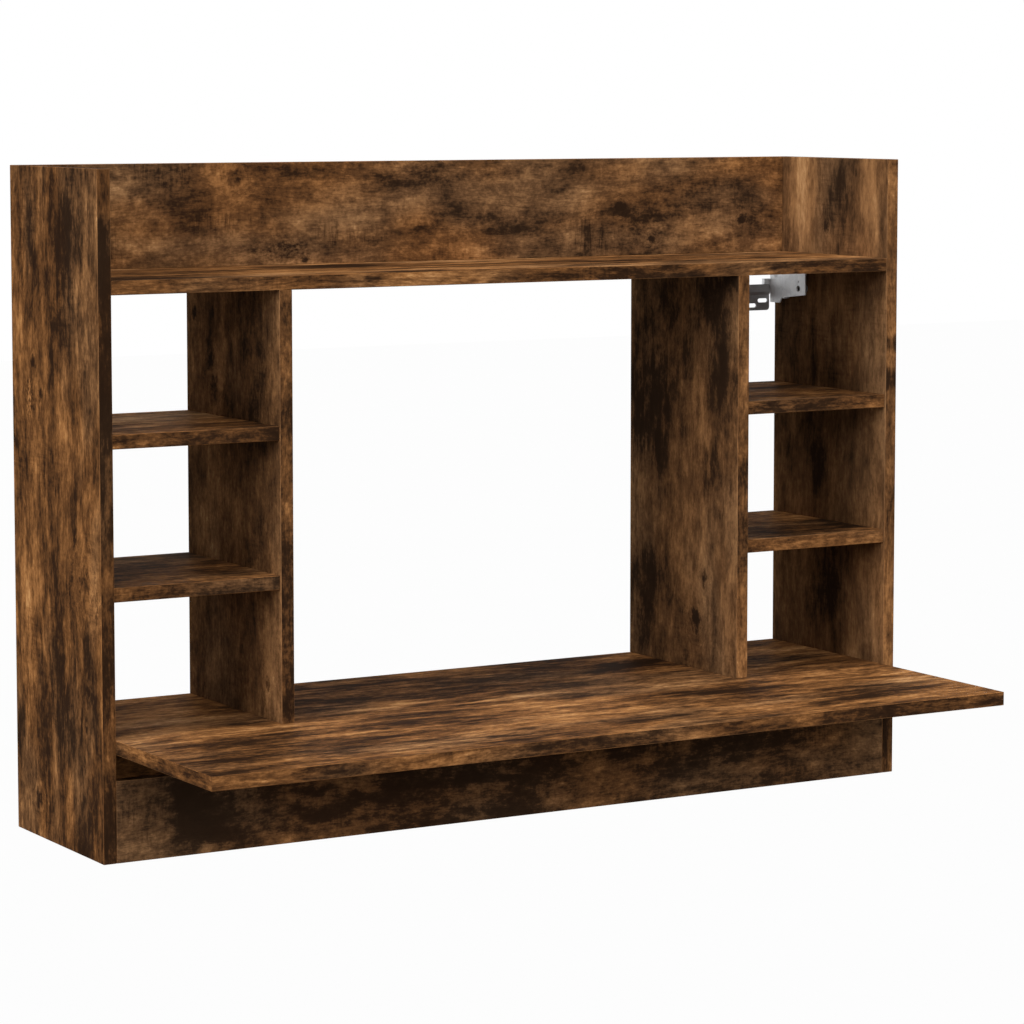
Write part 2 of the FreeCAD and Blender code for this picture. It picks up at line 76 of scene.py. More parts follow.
class Graph:
    """A material's node tree, with short calls for the nodes that the finishes use."""

    NOISE_GAIN = 8.0

    def __init__(self, name: str) -> None:
        """Starts a material with one Principled shader.

        Args:
            name: name of the material.
        """
        self.material = bpy.data.materials.new(name)
        self.material.use_nodes = True
        self.tree = self.material.node_tree
        self.tree.nodes.clear()
        output = self.tree.nodes.new("ShaderNodeOutputMaterial")
        self.shader = self.tree.nodes.new("ShaderNodeBsdfPrincipled")
        self.tree.links.new(self.shader.outputs[0], output.inputs["Surface"])

    def feed(self, socket: Socket, value: object) -> None:
        """Links an output to a socket, or sets the socket to a constant.

        Args:
            socket: input socket of a node.
            value: output socket or constant.
        """
        if isinstance(value, bpy.types.NodeSocket):
            self.tree.links.new(value, socket)
        else:
            socket.default_value = value

    def calc(self, operation: str, first: Number, second: Number = 0.0, third: Number = 0.0) -> Socket:
        """Result of one Math node.

        Args:
            operation: name of the operation.
            first: first value.
            second: second value.
            third: third value.

        Returns:
            The node's output.
        """
        node = self.tree.nodes.new("ShaderNodeMath")
        node.operation = operation
        for socket, value in zip(node.inputs, (first, second, third)):
            self.feed(socket, value)
        return node.outputs[0]

    def vector(self, operation: str, first: object, second: object = (0.0, 0.0, 0.0)) -> bpy.types.Node:
        """One Vector Math node.

        Args:
            operation: name of the operation.
            first: first vector.
            second: second vector.

        Returns:
            The node.
        """
        node = self.tree.nodes.new("ShaderNodeVectorMath")
        node.operation = operation
        self.feed(node.inputs[0], first)
        self.feed(node.inputs[1], second)
        return node

    def parts(self, vector: Socket) -> list[Socket]:
        """The three parts of a vector.

        Args:
            vector: vector output.

        Returns:
            Its x, y and z.
        """
        node = self.tree.nodes.new("ShaderNodeSeparateXYZ")
        self.feed(node.inputs[0], vector)
        return list(node.outputs)

    def join(self, first: Number, second: Number, third: Number) -> Socket:
        """A vector of three values.

        Args:
            first: x.
            second: y.
            third: z.

        Returns:
            The vector.
        """
        node = self.tree.nodes.new("ShaderNodeCombineXYZ")
        for socket, value in zip(node.inputs, (first, second, third)):
            self.feed(socket, value)
        return node.outputs[0]

    def noise(self, vector: Socket, kind: Noise, stretch: float = 1.0) -> Socket:
        """Noise about zero, mostly between -1 and 1.

        Args:
            vector: place, in metres.
            kind: scale and octaves of the noise.
            stretch: how far it is drawn out along the first axis.

        Returns:
            The noise value.
        """
        along, across, through = kind.scale
        scaled = self.vector("MULTIPLY", vector, (along / stretch, across, through))
        node = self.tree.nodes.new("ShaderNodeTexNoise")
        self.feed(node.inputs["Vector"], scaled.outputs[0])
        node.inputs["Scale"].default_value = 1.0
        node.inputs["Detail"].default_value = kind.detail
        node.inputs["Roughness"].default_value = kind.rough
        return self.calc("MULTIPLY_ADD", node.outputs[0], self.NOISE_GAIN, -self.NOISE_GAIN / 2)

    def film(self, vector: Socket, layer: Film, stretch: float = 1.0) -> Socket:
        """How much of a layer of a finish shows.

        Args:
            vector: place, in metres.
            layer: the layer.
            stretch: how far it is drawn out along the first axis.

        Returns:
            Its share, from 0 to 1.
        """
        return self.fade(self.noise(vector, layer.noise, stretch), layer.low, layer.high)

    def fade(self, value: Number, low: float, high: float, start: float = 0.0, end: float = 1.0) -> Socket:
        """Smooth step from one value to another.

        Args:
            value: what is measured.
            low: where the step starts.
            high: where the step ends.
            start: result at and below low.
            end: result at and above high.

        Returns:
            The step's value.
        """
        node = self.tree.nodes.new("ShaderNodeMapRange")
        node.interpolation_type = "SMOOTHSTEP"
        for socket, number in zip(node.inputs, (value, low, high, start, end)):
            self.feed(socket, number)
        return node.outputs[0]

    def blend(self, factor: Number, first: Number, second: Number) -> Socket:
        """Mix of two values.

        Args:
            factor: share of the second value.
            first: first value.
            second: second value.

        Returns:
            The mixed value.
        """
        node = self.tree.nodes.new("ShaderNodeMix")
        for socket, value in zip((node.inputs[0], node.inputs[2], node.inputs[3]), (factor, first, second)):
            self.feed(socket, value)
        return node.outputs[0]

    def paint(self, factor: Number, first: object, second: object) -> Socket:
        """Mix of two colours.

        Args:
            factor: share of the second colour.
            first: first colour.
            second: second colour.

        Returns:
            The mixed colour.
        """
        node = self.tree.nodes.new("ShaderNodeMix")
        node.data_type = "RGBA"
        for socket, value in zip((node.inputs[0], node.inputs[6], node.inputs[7]), (factor, first, second)):
            self.feed(socket, value)
        return node.outputs[2]

    def ramp(self, value: Number, stops: tuple[tuple[float, Colour], ...]) -> Socket:
        """Colour of a value on a colour ramp.

        Args:
            value: place on the ramp.
            stops: places and colours.

        Returns:
            The colour.
        """
        node = self.tree.nodes.new("ShaderNodeValToRGB")
        band = node.color_ramp
        while len(band.elements) < len(stops):
            band.elements.new(0.5)
        for element, (place, colour) in zip(band.elements, stops):
            element.position, element.color = place, colour
        self.feed(node.inputs[0], value)
        return node.outputs[0]

    def bump(self, height: Socket, strength: float, distance: float) -> None:
        """Sets the shader's normal from a height.

        Args:
            height: height, about 0 to 1.
            strength: strength of the bump.
            distance: height of 1, in metres.
        """
        node = self.tree.nodes.new("ShaderNodeBump")
        node.inputs["Strength"].default_value = strength
        node.inputs["Distance"].default_value = distance
        self.feed(node.inputs["Height"], height)
        self.feed(self.shader.inputs["Normal"], node.outputs[0])

    def place(self) -> tuple[Socket, Socket]:
        """Place and normal of the surface in the frame that the desk is built in."""
        node = self.tree.nodes.new("ShaderNodeTexCoord")
        return node.outputs["Object"], node.outputs["Normal"]


class Grain(Enum):
    """Which axes run along the grain, across it and through the board."""

    UPRIGHT = (2, 1, 0)
    LEVEL = (0, 1, 2)
    FACING = (0, 2, 1)


@dataclass(frozen=True)
class StainOrShade:
    """A patch on one face or on the front edge, darker, or paler where its depth is negative: a smoky stain of
    the print, or a broad patch of painted shade.
    """

    along: float
    across: float
    length: float
    width: float
    depth: float = 0.2
    edge: bool = False

    OUTLINE = Noise((20.0, 70.0, 1.0))
    TEAR = 0.2
    FADE = (0.3, 1.15)


@dataclass(frozen=True)
class Flecks(StainOrShade):
    """A patch of small dark and pale flecks on one face."""

    depth: float = 0.14

    SPECKS = Noise((260.0, 330.0, 1.0), 2.0)


@dataclass(frozen=True)
class Knot:
    """A knot on one face, with a pale ring and the grain bent round it."""

    along: float
    across: float
    radius: float
    depth: float = 0.42

    OUTLINE = Noise((130.0, 190.0, 1.0), 3.0, 0.6)
    TEAR = 0.4
    FADE = (0.1, 1.35)
    OVAL = 1.35
    RING = ((1.0, 1.3), (1.3, 1.9))
    RING_DEPTH = -0.04
    BEND = (0.6, 3.4, -0.7, 0.0)

    @property
    def length(self) -> float:
        """Half of its length along the grain."""
        return self.radius * self.OVAL

    @property
    def width(self) -> float:
        """Half of its width across the grain."""
        return self.radius


@dataclass(frozen=True)
class Surface:
    """A point on a board: its place in the grain, and 1 or 0 for each side that it may be on."""

    along: Socket
    across: Socket
    through: Socket
    end: Socket
    edge: Socket
    lip: Socket
    shown: Socket
    arris: Socket


@dataclass(frozen=True)
class OakFoil:
    """Printed oak foil: streaks, smoky clouds, saw marks, stains and knots over a brown ground, with painted
    highlights on the arrises.

    Attributes:
        seed: which piece of the print the board has.
        grain: how the grain runs on it.
        tone: place of its faces on the colour ramps.
        edge_tone: what its ends and edges add to that.
        cloud: strength of the clouds.
        contrast: strength of the figure.
        sawn: strength of the saw marks.
        grey: how much more of the grey ramp it has than the usual mix.
        stretch: how far the figure is drawn out along the grain.
        side: which way the face with the marks looks along its axis, or 0 for both faces.
        far_contrast: figure and clouds away from that face, as a multiple of its own.
        far_grey: grey away from that face, as a multiple of its own.
        marks: its stains, its patches of painted shade, flecks and knots.
    """

    seed: float
    grain: Grain
    tone: float = 0.52
    edge_tone: float = 0.0
    cloud: float = 1.0
    contrast: float = 1.0
    sawn: float = 0.4
    grey: float = 0.0
    stretch: float = 1.0
    side: int = 0
    far_contrast: float = 1.0
    far_grey: float = 1.0
    marks: tuple[Union[StainOrShade, Knot], ...] = ()

    BROWN = (
        (0.0, tint(31, 20, 13)),
        (0.2, tint(51, 33, 20)),
        (0.5, tint(101, 66, 37)),
        (0.75, tint(146, 99, 57)),
        (1.0, tint(192, 142, 90)),
    )
    GREY = (
        (0.0, tint(32, 22, 15)),
        (0.2, tint(52, 37, 25)),
        (0.5, tint(99, 71, 47)),
        (0.75, tint(139, 103, 69)),
        (1.0, tint(186, 146, 103)),
    )

    # Least part of the normal along its axis, for any side and for the face that has the marks.
    SQUARE = 0.9
    TOWARDS = 0.5

    # Steps on the print from board to board, to the ends, to the edges and through a board.
    SEED_STEP = (1.7, 0.9, 1.0)
    END_STEP = 3.7
    EDGE_STEP = 0.43
    PLY_STEP = 6.0
    MARK_STEP = 70.0

    # The grain's waves, and its layers with what each adds to the tone.
    WAVE = Noise((3.0, 8.0, 1.0), 2.0)
    WAVE_HEIGHT = 0.0045
    FINE = Noise((46.0, 380.0, 1.0), 4.0, 0.7)
    FINE_SHARE = 0.05
    GRIT = Noise((260.0, 700.0, 1.0), 2.0)
    GRIT_SHARE = 0.02
    STREAKS = (
        (Noise((140.0, 270.0, 2.0), 3.0, 0.65), 0.055),
        (Noise((46.0, 95.0, 3.0), 5.0, 0.68), 0.08),
        (Noise((13.0, 95.0, 1.0), 4.0, 0.6), 0.07),
        (Noise((9.0, 36.0, 1.0), 4.0, 0.6), 0.085),
        (Noise((6.0, 12.0, 2.0), 4.0, 0.55), 0.11),
    )

    # Clouds, saw marks and pores.
    SMOKE = Film(Noise((8.0, 20.0, 2.0), 5.0, 0.58), -0.25, 1.7, -0.42)
    PATCHES = Film(Noise((28.0, 62.0, 3.0), 4.0, 0.62), 0.2, 1.9, -0.25)
    EDGE_CLOUD = -0.6
    SAWN_SPOTS = Film(Noise((8.0, 14.0, 2.0)), 0.0, 1.4)
    SAW_LINES = Film(Noise((300.0, 34.0, 1.0), 4.0, 0.65), -0.6, 1.6, -0.26)
    PORES = Film(Noise((60.0, 1100.0, 1.0), 1.0), 0.9, 1.5, -0.1)

    # How the figure shows in marks and in the darkest tones, and the painted highlight that lightens the
    # arrises.
    MARK_FIGURE = -0.9
    DARKEST = (0.1, 0.18)
    DARK_FIGURE = 0.12
    ARRIS_HIGHLIGHT = (0.6, 0.28)

    # Where the foil is greyer, and its gloss and relief.
    AGEING = Noise((3.5, 9.0, 2.0), 2.0)
    AGEING_FADE = (-0.6, 1.2)
    GREY_SHARE = (0.05, 0.85)
    ROUGH = (0.05, 0.58)
    SPECULAR = 0.002
    FINE_RELIEF = 0.6
    PORE_RELIEF = -1.2
    BUMP = 0.25
    BUMP_HEIGHT = 0.00012

    def material(self, name: str) -> bpy.types.Material:
        """Makes the foil's material.

        Args:
            name: name of the board that it covers.

        Returns:
            The material.
        """
        graph = Graph(f"oak_foil_{name}")
        board = self._surface(graph)
        shift, dark = self._marks(graph, board)
        raw, spread = self._lay(graph, board, shift)
        gain = graph.blend(board.shown, self.far_contrast, 1.0)
        fine, figure = self._figure(graph, raw, spread)
        figure = graph.calc("MULTIPLY", figure, gain)
        pores = graph.film(spread, self.PORES)

        ground = graph.calc("ADD", figure, self.tone)
        clouds = graph.calc("MULTIPLY", self._clouds(graph, spread), gain)
        kept = graph.calc("MULTIPLY_ADD", board.edge, self.EDGE_CLOUD, 1.0)
        tone = graph.calc("MULTIPLY_ADD", clouds, kept, ground)
        sawn = graph.calc("MULTIPLY", graph.film(raw, self.SAWN_SPOTS), graph.film(spread, self.SAW_LINES))
        tone = graph.calc("MULTIPLY_ADD", sawn, self.SAW_LINES.strength * self.sawn, tone)
        tone = graph.calc("MULTIPLY_ADD", pores, self.PORES.strength, tone)
        grained = graph.calc("MULTIPLY_ADD", figure, self.MARK_FIGURE, 1.0)
        tone = graph.calc("SUBTRACT", tone, graph.calc("MULTIPLY", dark, grained))
        tone = graph.calc("MULTIPLY_ADD", board.edge, self.edge_tone, tone)
        tone = graph.calc("SMOOTH_MAX", tone, *self.DARKEST)
        tone = graph.calc("MULTIPLY_ADD", figure, self.DARK_FIGURE, tone)
        # Painted highlight: the chamfered arrises are lightened, as catch-lights along the edges.
        tone = graph.blend(board.arris, tone, graph.calc("MULTIPLY_ADD", tone, *self.ARRIS_HIGHLIGHT))

        least, most = self.GREY_SHARE
        aged = graph.noise(raw, self.AGEING)
        grey = graph.fade(aged, *self.AGEING_FADE, least + self.grey, min(most + self.grey, 1.0))
        grey = graph.calc("MULTIPLY", grey, graph.blend(board.shown, self.far_grey, 1.0))
        colour = graph.paint(grey, graph.ramp(tone, self.BROWN), graph.ramp(tone, self.GREY))
        graph.feed(graph.shader.inputs["Base Color"], colour)
        graph.feed(graph.shader.inputs["Roughness"], graph.calc("MULTIPLY_ADD", fine, *self.ROUGH))
        graph.shader.inputs["Specular IOR Level"].default_value = self.SPECULAR
        raised = graph.calc("MULTIPLY", fine, self.FINE_RELIEF)
        sunk = graph.calc("MULTIPLY", pores, self.PORE_RELIEF)
        graph.bump(graph.calc("ADD", raised, sunk), self.BUMP, self.BUMP_HEIGHT)
        return graph.material

    def _surface(self, graph: Graph) -> Surface:
        """Tells the sides of the board apart.

        Args:
            graph: the material's nodes.

        Returns:
            Place and side of each point.
        """
        place, normal = graph.place()
        spot, facing = graph.parts(place), graph.parts(normal)
        along, across, through = (spot[axis] for axis in self.grain.value)
        turned = [graph.calc("ABSOLUTE", facing[axis]) for axis in self.grain.value]
        end, long_edge, face = (graph.calc("GREATER_THAN", turn, self.SQUARE) for turn in turned)
        edge = graph.calc("MAXIMUM", end, long_edge)
        arris = graph.calc("SUBTRACT", 1.0, graph.calc("MAXIMUM", edge, face))
        lip = graph.calc("LESS_THAN", facing[self.grain.value[1]], -self.SQUARE)
        shown = face
        if self.side:
            turn = graph.calc("MULTIPLY", facing[self.grain.value[2]], self.side)
            shown = graph.calc("GREATER_THAN", turn, self.TOWARDS)
        return Surface(along, across, through, end, edge, lip, shown, arris)

    def _lay(self, graph: Graph, board: Surface, shift: Number) -> tuple[Socket, Socket]:
        """Lays the print on the board, with pieces of its own on the ends and edges.

        Args:
            graph: the material's nodes.
            board: place and side of each point.
            shift: how far the knots bend the grain across.

        Returns:
            Place on the print, as laid and with the grain's waves.
        """
        run = graph.blend(board.end, board.along, graph.calc("ADD", board.across, self.END_STEP))
        strip = graph.blend(board.edge, board.across, graph.calc("ADD", board.through, self.EDGE_STEP))
        deep = graph.calc("MULTIPLY", board.through, self.PLY_STEP)
        layer = graph.blend(board.edge, deep, graph.calc("ADD", board.along, board.across))
        start = tuple(self.seed * step for step in self.SEED_STEP)
        raw = graph.vector("ADD", graph.join(run, strip, layer), start).outputs[0]
        wave = graph.calc("MULTIPLY", graph.noise(raw, self.WAVE), self.WAVE_HEIGHT)
        bent = graph.join(0.0, graph.calc("ADD", wave, shift), 0.0)
        return raw, graph.vector("ADD", raw, bent).outputs[0]

    def _figure(self, graph: Graph, raw: Socket, spread: Socket) -> tuple[Socket, Number]:
        """Adds up the layers of the grain.

        Args:
            graph: the material's nodes.
            raw: place on the print, as laid.
            spread: place on the print, with the grain's waves.

        Returns:
            The finest layer, and the sum of all of them.
        """
        fine = graph.noise(spread, self.FINE, self.stretch)
        layers = [(fine, self.FINE_SHARE), (graph.noise(raw, self.GRIT), self.GRIT_SHARE)]
        layers += [(graph.noise(spread, streak, self.stretch), share) for streak, share in self.STREAKS]
        figure: Number = 0.0
        for layer, share in layers:
            figure = graph.calc("MULTIPLY_ADD", layer, share * self.contrast, figure)
        return fine, figure

    def _clouds(self, graph: Graph, spread: Socket) -> Socket:
        """Adds the broad smoke and the smaller patches in it.

        Args:
            graph: the material's nodes.
            spread: place on the print, with the grain's waves.

        Returns:
            What they add to the tone, 0 or below.
        """
        smoke = graph.film(spread, self.SMOKE, self.stretch)
        clouds = graph.calc("MULTIPLY", smoke, self.SMOKE.strength * self.cloud)
        patches = graph.film(spread, self.PATCHES, self.stretch)
        return graph.calc("MULTIPLY_ADD", patches, self.PATCHES.strength * self.cloud, clouds)

    def _marks(self, graph: Graph, board: Surface) -> tuple[Number, Number]:
        """Adds the board's stains, patches of painted shade, flecks and knots.

        Args:
            graph: the material's nodes.
            board: place and side of each point.

        Returns:
            How far the knots bend the grain across, and how much darker the marks are.
        """
        shift: Number = 0.0
        dark: Number = 0.0
        if not self.marks:
            return shift, dark
        layer = graph.calc("MULTIPLY_ADD", board.through, self.MARK_STEP, self.seed)
        flat = graph.join(board.along, board.across, layer)
        ragged, gnarled = graph.noise(flat, StainOrShade.OUTLINE), graph.noise(flat, Knot.OUTLINE)
        for mark in self.marks:
            knot = isinstance(mark, Knot)
            away = graph.vector("SUBTRACT", flat, (mark.along, mark.across, self.seed)).outputs[0]
            scaled = graph.vector("MULTIPLY", away, (1 / mark.length, 1 / mark.width, 0.0)).outputs[0]
            reach = graph.vector("LENGTH", scaled).outputs["Value"]
            torn = graph.calc("MULTIPLY_ADD", gnarled if knot else ragged, mark.TEAR, reach)
            depth = graph.fade(torn, *mark.FADE, mark.depth, 0.0)
            if isinstance(mark, Flecks):
                depth = graph.calc("MULTIPLY", depth, graph.noise(flat, mark.SPECKS))
            if knot:
                rise, fall = (graph.fade(torn, *step) for step in mark.RING)
                ring = graph.calc("SUBTRACT", rise, fall)
                depth = graph.calc("MULTIPLY_ADD", ring, mark.RING_DEPTH, depth)
                pull = graph.calc("MULTIPLY", graph.parts(away)[1], graph.fade(torn, *mark.BEND))
                shift = graph.calc("MULTIPLY_ADD", pull, board.shown, shift)
            on_edge = isinstance(mark, StainOrShade) and mark.edge
            dark = graph.calc("MULTIPLY_ADD", depth, board.lip if on_edge else board.shown, dark)
        return shift, dark


@dataclass(frozen=True)
class PlatedSteel:
    """Plated sheet or turned metal: a soft spangle, rolling lines, small scuffs, and painted shade, a flat grey
    that is not metallic, on the faces deep in the hanger's channel.
    """

    colour: Colour
    rough: float = 0.38
    metallic: float = 1.0
    lines: Point = (40.0, 900.0, 40.0)
    spangle: float = 160.0
    painted_shade_beyond: float = 0.0

    # Painted shade: the flat grey, not metallic, that stands for the shade deep in the channel, and how fast it
    # sets in.
    PAINTED_SHADE = tint(122, 119, 116)
    PAINTED_SHADE_FADE = 0.001

    # What the rolling lines, the spangle and the scuffs add to colour and roughness, and the relief.
    LINES = (0.05, 0.93)
    SPANGLE = 0.14
    SCUFFS = Film(Noise((70.0, 70.0, 70.0), 5.0, 0.65), 0.5, 1.4, -0.16)
    LINE_ROUGH = 0.05
    SCUFF_ROUGH = 0.14
    BUMP = 0.12
    BUMP_HEIGHT = 0.00005

    def material(self, name: str) -> bpy.types.Material:
        """Makes the metal's material.

        Args:
            name: name of the finish.

        Returns:
            The material.
        """
        graph = Graph(name)
        place, _ = graph.place()
        rolled = graph.noise(place, Noise(self.lines))
        grains = graph.tree.nodes.new("ShaderNodeTexVoronoi")
        grains.inputs["Scale"].default_value = self.spangle
        graph.feed(grains.inputs["Vector"], place)
        flake = graph.parts(grains.outputs["Color"])[0]
        scuff = graph.film(place, self.SCUFFS)
        level = graph.calc("MULTIPLY_ADD", rolled, *self.LINES)
        level = graph.calc("MULTIPLY_ADD", flake, self.SPANGLE, level)
        level = graph.calc("MULTIPLY_ADD", scuff, self.SCUFFS.strength, level)
        tone = graph.vector("SCALE", self.colour[:3])
        graph.feed(tone.inputs["Scale"], level)
        colour, metal = tone.outputs[0], self.metallic
        # Painted shade: nearer the side panel than this, deep in the channel where shade falls, the plating
        # turns to the flat grey.
        if self.painted_shade_beyond:
            depth = graph.calc("ABSOLUTE", graph.parts(place)[0])
            painted_shade_share = graph.fade(depth, self.painted_shade_beyond, self.painted_shade_beyond + self.PAINTED_SHADE_FADE)
            colour = graph.paint(painted_shade_share, colour, self.PAINTED_SHADE)
            metal = graph.calc("MULTIPLY_ADD", painted_shade_share, -metal, metal)
        graph.feed(graph.shader.inputs["Base Color"], colour)
        graph.feed(graph.shader.inputs["Metallic"], metal)
        rough = graph.calc("MULTIPLY_ADD", rolled, self.LINE_ROUGH, self.rough)
        rough = graph.calc("MULTIPLY_ADD", scuff, self.SCUFF_ROUGH, rough)
        graph.feed(graph.shader.inputs["Roughness"], rough)
        graph.bump(rolled, self.BUMP, self.BUMP_HEIGHT)
        return graph.material


def dress(node: bpy.types.Object, material: bpy.types.Material) -> None:
    """Puts one material on a whole CAD node.

    Args:
        node: the node's object.
        material: its new material.
    """
    slots = node.material_slots
    if not slots:
        node.data.materials.append(material)
    for slot in slots:
        slot.link = "OBJECT"
        slot.material = material


@dataclass
class Boards:
    """The boards of the carcass, each with its own piece of foil."""

    left_side_panel: OakFoil = OakFoil(
        1.3,
        Grain.UPRIGHT,
        tone=0.525,
        edge_tone=-0.32,
        cloud=0.72,
        contrast=1.1,
        grey=-0.3,
        stretch=1.0,
        side=-1,
        marks=(
            StainOrShade(0.090, -0.146, 0.052, 0.042, 0.30),
            StainOrShade(0.135, -0.146, 0.026, 0.012, 0.18),
            StainOrShade(0.030, -0.148, 0.050, 0.022, 0.20),
            StainOrShade(0.030, -0.176, 0.028, 0.010, 0.22),
            StainOrShade(-0.020, -0.106, 0.036, 0.008, 0.20),
            StainOrShade(0.172, -0.225, 0.052, 0.1, -0.30, True),
            StainOrShade(0.075, -0.225, 0.050, 0.1, 0.22, True),
            StainOrShade(-0.480, -0.225, 0.050, 0.1, 0.16, True),
            Knot(-0.029, -0.056, 0.005),
            Knot(-0.060, -0.073, 0.005),
            StainOrShade(-0.066, -0.045, 0.020, 0.006, -0.14),
            Knot(-0.252, -0.186, 0.014),
            StainOrShade(-0.310, -0.186, 0.055, 0.010, 0.24),
            Knot(-0.360, -0.191, 0.004),
            Knot(-0.401, -0.186, 0.004),
            StainOrShade(-0.412, -0.134, 0.060, 0.028, 0.24),
            Knot(-0.492, -0.059, 0.008),
            StainOrShade(-0.475, -0.102, 0.060, 0.016, -0.16),
            StainOrShade(-0.400, -0.120, 0.170, 0.160, 0.11),
            Flecks(-0.062, -0.045, 0.026, 0.016, 0.2),
        ),
    )
    right_side_panel: OakFoil = OakFoil(
        2.9,
        Grain.UPRIGHT,
        tone=0.56,
        edge_tone=-0.03,
        cloud=0.5,
        contrast=0.68,
        grey=0.5,
        side=-1,
        far_contrast=1.55,
        far_grey=0.4,
        marks=(
            StainOrShade(0.120, -0.055, 0.080, 0.032, -0.28),
            StainOrShade(0.120, -0.190, 0.080, 0.024, -0.24),
            StainOrShade(0.120, -0.132, 0.080, 0.026, 0.15),
            StainOrShade(-0.034, -0.225, 0.012, 0.1, 0.42, True),
            StainOrShade(-0.074, -0.225, 0.014, 0.1, 0.42, True),
            StainOrShade(-0.485, -0.225, 0.060, 0.1, 0.24, True),
            Knot(0.097, -0.105, 0.005),
            StainOrShade(-0.010, -0.080, 0.080, 0.130, -0.08),
            StainOrShade(-0.008, -0.125, 0.026, 0.018, 0.14),
            StainOrShade(-0.075, -0.121, 0.022, 0.014),
            StainOrShade(-0.040, -0.083, 0.055, 0.012, 0.22),
            StainOrShade(-0.171, -0.035, 0.035, 0.014),
            StainOrShade(-0.185, -0.097, 0.040, 0.020),
            StainOrShade(-0.339, -0.115, 0.070, 0.050, 0.24),
        ),
    )
    left_divider: OakFoil = OakFoil(
        4.2,
        Grain.UPRIGHT,
        tone=0.54,
        edge_tone=-0.12,
        cloud=0.45,
        contrast=0.85,
        grey=0.5,
        stretch=0.7,
        side=-1,
        far_contrast=1.35,
        far_grey=0.3,
        marks=(
            Knot(-0.368, -0.193, 0.006),
            StainOrShade(0.020, -0.147, 0.060, 0.050, 0.24),
            StainOrShade(0.010, -0.080, 0.050, 0.050, 0.12),
            Knot(0.017, -0.019, 0.006),
            Knot(-0.035, -0.059, 0.007),
            Knot(-0.061, -0.069, 0.009),
            StainOrShade(-0.045, -0.060, 0.040, 0.020, 0.18),
        ),
    )
    right_divider: OakFoil = OakFoil(
        5.6,
        Grain.UPRIGHT,
        tone=0.535,
        edge_tone=-0.05,
        cloud=0.55,
        contrast=0.8,
        grey=0.45,
        stretch=0.8,
        side=-1,
        far_contrast=1.35,
        far_grey=0.3,
        marks=(
            StainOrShade(0.000, -0.225, 0.110, 0.1, -0.10, True),
            StainOrShade(-0.176, -0.225, 0.028, 0.1, 0.16, True),
            StainOrShade(0.030, -0.171, 0.050, 0.040, 0.24),
            StainOrShade(-0.010, -0.110, 0.150, 0.160, 0.13),
            StainOrShade(-0.090, -0.040, 0.110, 0.060, 0.14),
            StainOrShade(-0.300, -0.180, 0.120, 0.060, -0.07),
            StainOrShade(-0.059, -0.193, 0.036, 0.020, 0.26),
            StainOrShade(-0.114, -0.037, 0.056, 0.040, 0.28),
            StainOrShade(-0.163, -0.069, 0.036, 0.020, 0.26),
            StainOrShade(-0.176, -0.171, 0.034, 0.026, 0.26),
            StainOrShade(-0.287, -0.137, 0.020, 0.005),
            Knot(-0.301, -0.158, 0.006),
            StainOrShade(-0.321, -0.035, 0.050, 0.030, 0.28),
            Knot(-0.349, -0.142, 0.009),
            StainOrShade(-0.373, -0.035, 0.028, 0.016, 0.26),
            StainOrShade(-0.373, -0.181, 0.040, 0.008),
            StainOrShade(-0.379, -0.216, 0.022, 0.008),
        ),
    )
    top_shelf: OakFoil = OakFoil(
        6.1,
        Grain.LEVEL,
        tone=0.545,
        edge_tone=-0.02,
        cloud=1.15,
        contrast=1.35,
        grey=-0.3,
        stretch=1.6,
        side=1,
        marks=(
            StainOrShade(0.000, -0.023, 2.0, 0.010, -0.2),
            StainOrShade(-0.183, -0.225, 0.014, 0.1, 0.24, True),
            StainOrShade(0.470, -0.225, 0.020, 0.1, 0.2, True),
        ),
    )
    top_back_board: OakFoil = OakFoil(
        7.7,
        Grain.FACING,
        tone=0.55,
        sawn=1.0,
        cloud=0.5,
        contrast=0.9,
        stretch=0.6,
        side=-1,
        marks=(
            StainOrShade(-0.012, 0.157, 0.085, 0.020),
            StainOrShade(0.076, 0.110, 0.100, 0.026, 0.22),
            StainOrShade(-0.184, 0.081, 0.042, 0.013),
            Knot(-0.156, 0.071, 0.004),
            Knot(-0.246, 0.161, 0.009, 0.24),
            StainOrShade(-0.364, 0.143, 0.012, 0.012),
            StainOrShade(0.281, 0.117, 0.070, 0.016),
            Knot(0.256, 0.122, 0.005),
            Knot(0.426, 0.105, 0.005),
            Knot(0.298, 0.083, 0.004),
            Flecks(-0.190, 0.082, 0.050, 0.018, 0.12),
            Flecks(0.290, 0.100, 0.040, 0.030, 0.07),
            StainOrShade(-0.150, 0.172, 0.300, 0.024, 0.12),
        ),
    )
